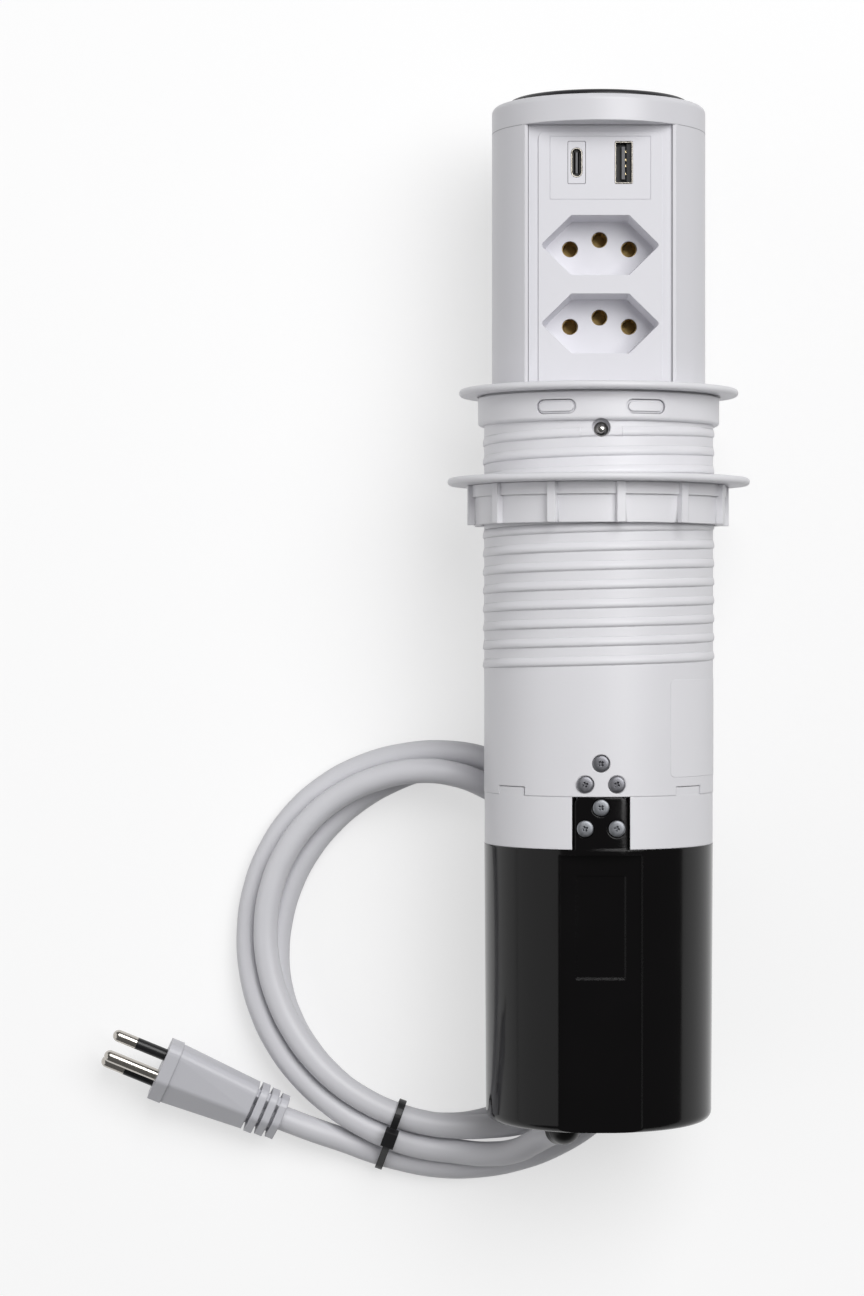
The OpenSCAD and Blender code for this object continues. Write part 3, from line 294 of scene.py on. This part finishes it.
# Tower: a tube, a cap and a floor, all moulded in white plastic with a satin skin.
# The cap and the floor snap into the tube, and a black pad lies in the cap.
# A grey hairline of painted shade runs round the back and the sides where the cap meets the tube, standing
# for the shadow in the gap between them.
white_shell = moulded("white_shell", (0.745, 0.74, 0.775), (0.715, 0.71, 0.745), rough=0.36, grain=1500,
                      depth=0.02, edge=0.5)
for part in ("cap_ring", "tower_shell", "tower_base"):
    dress(part, white_shell)
pad_black = moulded("pad_black", (0.014, 0.013, 0.016), (0.009, 0.009, 0.011), rough=0.42, grain=1400,
                    depth=0.06, edge=0.4)
dress("top_pad", pad_black)
# Painted shade: a grey for the shadow that falls in the hairline gap between the white cap and the white
# tube.
painted_seam_shade = moulded("painted_seam_shade", (0.4, 0.4, 0.42), (0.36, 0.36, 0.38), rough=0.6, grain=1500,
                    depth=0.02, edge=0.1)


def wound(shape, profile, start, sweep, steps, climb=0):
    """A closed profile of (radius, height) spun round the upright axis, climbing as it goes, ends closed.
    It begins at the angle start, which is measured from +x, and turns by sweep."""
    ring = [shape.verts.new((r * math.cos(start), r * math.sin(start), z)) for r, z in profile]
    edges = [shape.edges.new((ring[k - 1], ring[k])) for k in range(len(ring))]
    bmesh.ops.spin(shape, geom=ring + edges, cent=(0, 0, 0), axis=(0, 0, 1), dvec=(0, 0, climb / steps),
                   angle=sweep, steps=steps)
    bmesh.ops.holes_fill(shape, edges=[edge for edge in shape.edges if edge.is_boundary])
    bmesh.ops.recalc_face_normals(shape, faces=shape.faces)


def finished(name, shape, finish, body, smooth_below=35):
    """A bmesh as a piece that rides a body; edges that bend by less than smooth_below degrees look round."""
    piece = loose(name, shape)
    piece.data.shade_smooth()
    piece.data.set_sharp_from_angle(angle=math.radians(smooth_below))
    piece.data.materials.append(finish)
    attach(piece, body)
    return piece


tower_r, shell_top = 34.75, 85.3
line_proud, line_deep, line_half = 0.02, 0.3, 0.08
window_half, line_step = 46, 2
line_sweep = 360 - 2 * window_half
line_profile = [(tower_r + line_proud, shell_top - line_half), (tower_r + line_proud, shell_top + line_half),
                (tower_r - line_deep, shell_top + line_half), (tower_r - line_deep, shell_top - line_half)]
cap_line = bmesh.new()
wound(cap_line, line_profile, start=math.radians(window_half - 90), sweep=math.radians(line_sweep),
      steps=line_sweep // line_step)
for v in cap_line.verts:
    v.co = laid(*v.co)
finished("cap_seam", cap_line, painted_seam_shade, "tower")


# Socket front: one matt white moulding with two hexagonal recesses, clipped in behind the tube's window.
# Brass socket tubes stand behind its holes; each holds two sprung leaves that grip a pin.
white_front = moulded("white_front", (0.765, 0.76, 0.8), (0.74, 0.735, 0.775), rough=0.44, grain=2200,
                      depth=0.025, edge=0.2)
dress("socket_faceplate", white_front)
brass, place, shader = new_finish("contact_brass")
tarnish = noise(place, scale=700, detail=3)
feed(shader, {"Base Color": mixed(place, tarnish, (0.3, 0.21, 0.09), (0.58, 0.43, 0.19)),
              "Metallic": 1, "Roughness": 0.3 + 0.25 * tarnish})
for part in ("line_busbar", "neutral_busbar", "earth_busbar"):
    dress(part, brass)

pin_pitch, earth_rise = 19, 3
upper_socket, lower_socket = 46.9, 21.9
hole_middles = [(x, z + rise) for z in (upper_socket, lower_socket)
                for x, rise in ((-pin_pitch / 2, 0), (pin_pitch / 2, 0), (0, earth_rise))]
leaf_profile = [(2.5, 10.9), (2.45, 9.8), (2.15, 7.6), (2.2, 5.4), (2.5, 3.2)]
leaf_sweep, leaf_steps, leaf_thick = math.radians(128), 12, 0.2

leaves = bmesh.new()
for x, z in hole_middles:
    hole = Vector((x, 0, z))
    for side in (0, math.pi):
        start = Matrix.Rotation(side - leaf_sweep / 2, 3, "Y")
        strip = [leaves.verts.new(hole + start @ Vector((r, -out, 0))) for r, out in leaf_profile]
        edges = [leaves.edges.new(pair) for pair in zip(strip, strip[1:])]
        bmesh.ops.spin(leaves, geom=strip + edges, cent=hole, axis=(0, 1, 0), angle=leaf_sweep,
                       steps=leaf_steps)
for v in leaves.verts:
    v.co = laid(*v.co)
bmesh.ops.recalc_face_normals(leaves, faces=leaves.faces)
bmesh.ops.solidify(leaves, geom=leaves.faces, thickness=leaf_thick * mm)
finished("contact_leaves", leaves, brass, "tower")


# USB module: a white front with two upright ports on a circuit board, with its supply behind.
# The ports are folded from plated steel; their grey tongues stand in black cores, and the large one
# carries gold contacts. The front sits in its window with a narrow sunk seam.
module_white = moulded("module_white", (0.765, 0.76, 0.8), (0.74, 0.735, 0.775), rough=0.44, grain=2200,
                       depth=0.025, edge=0.06)
dress("usb_module_face", module_white)
dress("usb_c_insert", module_white)


def plated(name, colour, dull, rough, scratch):
    """Plated or polished metal: bright, with a faint grain, which scratch draws out along an axis."""
    finish, place, shader = new_finish(name)
    gloss_swing = 0.2
    drawn = place.node("ShaderNodeMapping", {}, {"Vector": place, "Scale": scratch})
    grain = noise(drawn, scale=900, detail=3)
    soft_edge = place.node("ShaderNodeBevel", {"samples": 6}, {"Radius": 0.2 * mm})
    bump = place.node("ShaderNodeBump", {}, {"Strength": 0.25, "Distance": 0.01 * mm, "Height": grain,
                                             "Normal": soft_edge})
    feed(shader, {"Base Color": mixed(place, grain, dull, colour), "Metallic": 1,
                  "Roughness": rough + gloss_swing * (grain - 0.5), "Normal": bump})
    return finish


port_steel = plated("port_steel", (0.62, 0.58, 0.52), (0.45, 0.42, 0.37), rough=0.25, scratch=(1, 1, 0.2))
dress("usb_c_shell", port_steel)
dress("usb_a_shell", port_steel)
tongue_grey = moulded("tongue_grey", (0.17, 0.17, 0.18), (0.12, 0.12, 0.13), rough=0.5, grain=1500,
                      depth=0.02, edge=0.1)
tongue_black = moulded("tongue_black", (0.009, 0.009, 0.01), (0.006, 0.006, 0.007), rough=0.5, grain=1500,
                       depth=0.02, edge=0.1)
dress("usb_c_tongue", tongue_grey)


def blocks(name, finish, body, boxes):
    """Plain blocks in one piece; each is given by its middle and its size in millimetres, upright."""
    shape = bmesh.new()
    for middle, size in boxes:
        block = bmesh.ops.create_cube(shape, size=1)["verts"]
        for v in block:
            v.co = laid(*(m + s * c for m, s, c in zip(middle, size, v.co)))
    bmesh.ops.recalc_face_normals(shape, faces=shape.faces)
    return finished(name, shape, finish, body)


module_w, module_h, module_z = 32.25, 20.25, 71.5
front_out = 24.5
seam_w, seam_deep, seam_sink = 0.3, 0.4, 0.18
seam_y = seam_sink + seam_deep / 2 - front_out
seam_x, seam_rise = (module_w - seam_w) / 2, (module_h - seam_w) / 2
upright_bar, cross_bar = (seam_w, seam_deep, module_h), (module_w - 2 * seam_w, seam_deep, seam_w)
blocks("module_seam", module_white, "tower",
       [((side * seam_x, seam_y, module_z), upright_bar) for side in (-1, 1)]
       + [((0, seam_y, module_z + side * seam_rise), cross_bar) for side in (-1, 1)])

port_x, port_z = 7.5, 73.2
tongue_off_middle = 0.12
tongue_x = port_x - tongue_off_middle
tongue_w, tongue_deep, tongue_h, tongue_front = 1.05, 6.2, 10.4, 23.3
tongue_set = blocks("usb_a_tongue_bar", tongue_grey, "tower",
                    [((tongue_x, tongue_deep / 2 - tongue_front, port_z), (tongue_w, tongue_deep, tongue_h))])
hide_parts("usb_a_tongue")

core_deep, core_h = 2.6, 12.4
floor_w, floor_y = 4.7, -20.2
step_w, step_y, step_off_middle = 1.4, -21.9, 1.6
blocks("usb_a_core", tongue_black, "tower",
       [((port_x, floor_y, port_z), (floor_w, core_deep, core_h)),
        ((port_x + step_off_middle, step_y, port_z), (step_w, core_deep, core_h))])
small_core_y = -21.7
small_core_wide, small_core_tall = (2.7, 3, 6.8), (1.6, 3, 8.4)
blocks("usb_c_core", tongue_black, "tower",
       [((-port_x, small_core_y, port_z), size) for size in (small_core_wide, small_core_tall)])

gold = plated("contact_gold", (0.85, 0.72, 0.45), (0.7, 0.55, 0.3), rough=0.2, scratch=(1, 1, 1))
contact_off_tongue, contact_y = 0.2, -22.5
contact_x = tongue_x + tongue_w / 2 + contact_off_tongue
contact_size, contact_rises = (0.35, 1.4, 0.75), (3.5, 1, -1, -3.5)
blocks("usb_a_contacts", gold, "tower",
       [((contact_x, contact_y, port_z + rise), contact_size) for rise in contact_rises])
board_green = moulded("board_green", (0.03, 0.19, 0.07), (0.02, 0.13, 0.05), rough=0.35, grain=600,
                      depth=0.04, edge=0.2)
dress("usb_board", board_green)
supply_tape = moulded("supply_tape", (0.55, 0.38, 0.08), (0.42, 0.28, 0.06), rough=0.4, grain=500,
                      depth=0.05, edge=0.3)
dress("usb_supply", supply_tape)


# Contact block: a grey insulating block and a cover hold the brass tubes and strips;
# three insulated cores run down to the base, blue, green and brown from left to right.
insulator_grey = moulded("insulator_grey", (0.3, 0.3, 0.31), (0.25, 0.25, 0.26), rough=0.5, grain=900,
                         depth=0.04, edge=0.4)
dress("contact_carrier", insulator_grey)
dress("insulator_plate", insulator_grey)
core_sheath, place, shader = new_finish("core_sheath")
cores_span = 30
core_hues = [(0, (0.02, 0.06, 0.3, 1)), (0.34, (0.05, 0.25, 0.04, 1)), (0.66, (0.12, 0.05, 0.02, 1))]
across = place.node("ShaderNodeSeparateXYZ", {}, {"Vector": place}, out="X")
hues = place.node("ShaderNodeValToRGB", {}, {"Fac": across * (1 / (cores_span * mm)) + 0.5})
ramp = hues.socket.node.color_ramp
ramp.interpolation = "CONSTANT"
ramp.elements.new(core_hues[1][0])
for stop, (begin, hue) in zip(ramp.elements, core_hues):
    stop.position, stop.color = begin, hue
feed(shader, {"Base Color": hues, "Roughness": 0.35 + 0.2 * noise(place, scale=400)})
dress("core_wires", core_sheath)


# Catch: a hardened steel ball looks out of the tube's wall, pushed by a spring wound from steel wire.
# The spring stands in a pocket of the tower's floor.
ball_steel = plated("ball_steel", (0.5, 0.49, 0.47), (0.42, 0.41, 0.39), rough=0.14, scratch=(1, 1, 1))
dress("detent_ball", ball_steel)
spring_foot, spring_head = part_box("detent_spring")
wire_r, wire_sides = 0.3, 10
spring_turns, turn_steps = 7, 24
spring_r = (spring_head.x - spring_foot.x) / mm / 2 - wire_r
spring_len = (spring_head.z - spring_foot.z) / mm
spring_middle = (spring_foot + spring_head) / 2
spring_base = Vector((spring_middle.x, spring_middle.y, spring_foot.z))
wire_turns = [2 * math.pi * (0.25 + k / wire_sides) for k in range(wire_sides)]
wire_profile = [(spring_r + wire_r * math.cos(turn), wire_r + wire_r * math.sin(turn)) for turn in wire_turns]
spring = bmesh.new()
wound(spring, wire_profile, start=0, sweep=2 * math.pi * spring_turns, steps=turn_steps * spring_turns,
      climb=spring_len - 2 * wire_r)
for v in spring.verts:
    v.co = spring_base + v.co * mm
catch_spring = finished("catch_spring", spring, ball_steel, "tower", smooth_below=50)
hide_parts("detent_spring")
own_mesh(catch_spring)


# Desk fitting: flange, sleeve, washer and nut, all moulded in the same white plastic.
# The flange's lugs snap into the collar; the nut runs on the sleeve's thread and pushes the washer up.
# The ridge of the thread is one smooth helix, laid over the solid's short straight lengths.
white_fitting = moulded("white_fitting", (0.815, 0.81, 0.84), (0.785, 0.78, 0.81), rough=0.4, grain=1300,
                        depth=0.03, edge=0.5)
for part in ("desk_flange", "threaded_sleeve", "clamp_washer", "lock_nut", "coupling_ring"):
    dress(part, white_fitting)

sleeve_r, ridge_h, side_h = 37.3, 0.83, 0.43
thread_pitch, thread_climb, thread_low_end = 6, 75.25, -88.35
ridge_profile = [(-0.1, -0.1), (0.89, 0.43), (1, 0.56), (1, 1.5), (0.87, 1.78), (-0.1, 3.2)]
steps_per_turn, gap_steps = 72, 2
ball_turn = 12.25
ball_step = round(ball_turn * steps_per_turn)
last_step = round(thread_climb / thread_pitch * steps_per_turn)
# One length runs up to the ball's hole and one goes on beyond it.
ridge = bmesh.new()
for first, last in ((0, ball_step - gap_steps), (ball_step + gap_steps, last_step)):
    turn, turns = first / steps_per_turn, (last - first) / steps_per_turn
    foot = thread_low_end + thread_pitch * turn
    wound(ridge, [(sleeve_r + share * ridge_h, foot + rise) for share, rise in ridge_profile],
          start=math.pi + 2 * math.pi * turn, sweep=2 * math.pi * turns, steps=last - first,
          climb=thread_pitch * turns)
# The ridge is lower at the tube's two sides, within so many degrees of them.
low_within, full_beyond = 26, 34
share_of_height = [(low_within, side_h / ridge_h), (full_beyond, 1)]
for v in ridge.verts:
    angle = math.atan2(v.co.y, v.co.x)
    from_side = abs((math.degrees(angle) + 90) % 180 - 90)
    r = sleeve_r + (math.hypot(v.co.x, v.co.y) - sleeve_r) * between(share_of_height, from_side)
    v.co = laid(r * math.cos(angle), r * math.sin(angle), v.co.z)
finished("thread_ridge", ridge, white_fitting, "sleeve", smooth_below=50)


# Label: a thin white film stuck round the right of the plain tube and left bare.
# It is cut from sheet with rounded corners and rubbed down, so only its edge and its flatter gloss show.
label_film = moulded("label_film", (0.83, 0.825, 0.855), (0.82, 0.815, 0.845), rough=0.45, grain=3000,
                     depth=0.01, edge=0.2)
label_top, label_bottom = -91.5, -122.5
label_from, label_sweep = math.radians(-53.5), math.radians(74)
label_corner, corner_step, label_bends = 1.6, 15, 40
film_lift, film_thick = 0.09, 0.07
film_r = sleeve_r + film_lift
label_width = label_sweep * film_r
left, right = label_corner, label_width - label_corner
low, high = label_bottom + label_corner, label_top - label_corner
label = bmesh.new()
rim = []
for x, z, start in ((right, high, 0), (left, high, 90), (left, low, 180), (right, low, 270)):
    for step in range(0, 91, corner_step):
        turn = math.radians(start + step)
        rim.append(label.verts.new((x + label_corner * math.cos(turn), 0, z + label_corner * math.sin(turn))))
label.faces.new(rim)
for k in range(1, label_bends):
    bmesh.ops.bisect_plane(label, geom=label.verts[:] + label.edges[:] + label.faces[:],
                           plane_co=(label_width * k / label_bends, 0, 0), plane_no=(1, 0, 0))
for v in label.verts:
    turn = label_from + v.co.x / film_r
    v.co = laid(film_r * math.cos(turn), film_r * math.sin(turn), v.co.z)
bmesh.ops.recalc_face_normals(label, faces=label.faces)
topmost = max(label.faces, key=lambda face: face.calc_center_median().z)
if topmost.normal.z < 0:
    bmesh.ops.reverse_faces(label, faces=label.faces)
bmesh.ops.solidify(label, geom=label.faces, thickness=film_thick * mm)
finished("bare_label", label, label_film, "sleeve")


# Bottom housing: a black closed tube with a flat channel and a tab, moulded with a glossy skin.
# The elbow gland and its nut are the same black; a tie of black nylon holds the coil.
housing_black = moulded("housing_black", (0.0034, 0.003, 0.0033), (0.0026, 0.0023, 0.0025), rough=0.12,
                        grain=1200, depth=0.008, edge=0.8)
dress("bottom_housing", housing_black)
gland_black = moulded("gland_black", (0.006, 0.0055, 0.0055), (0.004, 0.004, 0.004), rough=0.3, grain=1200,
                      depth=0.03, edge=0.4)
dress("cord_gland", gland_black)
dress("gland_nut", gland_black)
black_sheen = 0.27
for finish in (housing_black, gland_black):
    feed(finish.node_tree.nodes["Principled BSDF"], {"Specular IOR Level": black_sheen})
tie_black = moulded("tie_black", (0.012, 0.012, 0.013), (0.008, 0.008, 0.009), rough=0.4, grain=1500,
                    depth=0.03, edge=0.3)
dress("cable_tie", tie_black)


# Screws: plated pan-head screws with a cross recess, three in the sleeve and three in the housing's tab,
# all driven into a steel plate behind the wall.
screw_zinc = plated("screw_zinc", (0.34, 0.35, 0.37), (0.22, 0.23, 0.25), rough=0.48, scratch=(1, 1, 1))
screw_grey = plated("screw_grey", (0.28, 0.28, 0.3), (0.18, 0.18, 0.2), rough=0.44, scratch=(1, 1, 1))
dress("splice_plate", screw_zinc)
head_r, head_h, rim_h, rim_chamfer = 2.65, 1.4, 0.75, 0.12
dome_out, dome_up = 0.6, 0.7
shank_r, shank_len = 1.4, 5.2
cross_w, cross_l, cross_deep = 0.7, 2.7, 1.0
cross_taper = (0.35, 0.7, 1)
seat_out = 36.4
screw_x, screw_rise = 5, 6.6


def screw_mesh(turn):
    """One screw on the axis of z with its head up; turn is the angle of its cross in degrees."""
    round_steps, merge_within = 40, 0.0001
    tilts = [math.radians(a) for a in range(0, 90, 10)]
    dome = [(head_r * math.sin(tilt) ** dome_out, rim_h + (head_h - rim_h) * math.cos(tilt) ** dome_up)
            for tilt in tilts]
    rim = [(head_r, rim_h), (head_r, rim_chamfer), (head_r - rim_chamfer, 0)]
    shank = [(shank_r, 0), (shank_r, -shank_len)]
    shape = bmesh.new()
    verts = [shape.verts.new((r, 0, h)) for r, h in dome + rim + shank]
    edges = [shape.edges.new(pair) for pair in zip(verts, verts[1:])]
    bmesh.ops.spin(shape, geom=verts + edges, cent=(0, 0, 0), axis=(0, 0, 1), angle=2 * math.pi,
                   steps=round_steps, use_merge=True)
    bmesh.ops.remove_doubles(shape, verts=shape.verts, dist=merge_within)
    bmesh.ops.holes_fill(shape, edges=[edge for edge in shape.edges if edge.is_boundary])
    bmesh.ops.recalc_face_normals(shape, faces=shape.faces)
    recess = bmesh.new()
    for angle in (turn, turn + 90):
        wing = bmesh.ops.create_cube(recess, size=1)["verts"]
        bmesh.ops.scale(recess, vec=(cross_l, cross_w, 2 * cross_deep), verts=wing)
        bmesh.ops.scale(recess, vec=cross_taper, verts=[v for v in wing if v.co.z < 0])
        bmesh.ops.rotate(recess, verts=wing, cent=(0, 0, 0),
                         matrix=Matrix.Rotation(math.radians(angle), 3, "Z"))
        bmesh.ops.translate(recess, verts=wing, vec=(0, 0, head_h))
    whole, cutter = loose("screw", shape), loose("cutter", recess)
    cut = whole.modifiers.new("cross", "BOOLEAN")
    cut.object, cut.operation, cut.solver, cut.use_self = cutter, "DIFFERENCE", "EXACT", True
    done = bpy.data.meshes.new_from_object(whole.evaluated_get(bpy.context.evaluated_depsgraph_get()))
    bpy.data.objects.remove(whole)
    bpy.data.objects.remove(cutter)
    return done


def screw_group(name, node, finish, row_z, turns):
    """Two screws in a row and one over their middle, each laid in its hole."""
    group = bmesh.new()
    holes = [(-screw_x, row_z), (screw_x, row_z), (0, row_z + screw_rise)]
    for (x, z), turn in zip(holes, turns):
        one = screw_mesh(turn)
        before = len(group.verts)
        group.from_mesh(one)
        bpy.data.meshes.remove(one)
        for v in list(group.verts)[before:]:
            v.co = laid(v.co.x + x, -v.co.z - seat_out, v.co.y + z)
    bmesh.ops.recalc_face_normals(group, faces=group.faces)
    piece = finished(name, group, finish, "sleeve", smooth_below=30)
    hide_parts(node)


screw_group("sleeve_screw_set", "sleeve_screws", screw_grey, row_z=-124.4, turns=(20, 65, 40))
screw_group("housing_screw_set", "housing_screws", screw_zinc, row_z=-138.3, turns=(30, 75, 50))


# Plug: a white moulding over the cord's end, with a slotted strain relief and three plated pins.
# The two line pins carry black insulating sleeves.
plug_white = moulded("plug_white", (0.66, 0.66, 0.7), (0.62, 0.62, 0.66), rough=0.4, grain=1100,
                     depth=0.03, edge=0.7)
dress("plug_body", plug_white)
dress("plug_strain_relief", plug_white)
pin_nickel = plated("pin_nickel", (0.6, 0.57, 0.53), (0.5, 0.47, 0.43), rough=0.2, scratch=(1, 1, 1))
dress("plug_pins", pin_nickel)
sleeve_black = moulded("sleeve_black", (0.012, 0.012, 0.014), (0.008, 0.008, 0.01), rough=0.35, grain=1500,
                       depth=0.02, edge=0.2)
dress("plug_pin_sleeves", sleeve_black)


# Slack lead inside the sleeve: the cord's sheath again, from the gland's nut up to the tower's floor.
housing_end, tower_foot, lift = -234.7, -22.5, 91
entry_x, entry_y = 0, 5
inner_route = [(gland_x, gland_y, 6.5), (gland_x, gland_y, 16), (-9, 14, 36), (0, 6, 66), (6, -4, 100),
               (3, -6, 132), (-3, 0, 160), (-2, 4, 186), (entry_x, entry_y, 204)]
inner_points = [laid(x, y, z + housing_end) / mm for x, y, z in inner_route]
inner_points.append(laid(entry_x, entry_y, tower_foot) / mm)
inner_line = cord_curve("inner_line", inner_points, cord_d)
inner_mesh = bpy.data.meshes.new_from_object(inner_line.evaluated_get(bpy.context.evaluated_depsgraph_get()))
bpy.data.objects.remove(inner_line)
inner_cord = bpy.data.objects.new("inner_cord", inner_mesh)
bpy.context.scene.collection.objects.link(inner_cord)
inner_mesh.materials.clear()
inner_mesh.materials.append(sheath)
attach(inner_cord, "sleeve")
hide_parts("inner_lead")
inner_reach = tower_foot - housing_end - inner_route[0][2]
1 - lift / inner_reach
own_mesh(inner_cord)
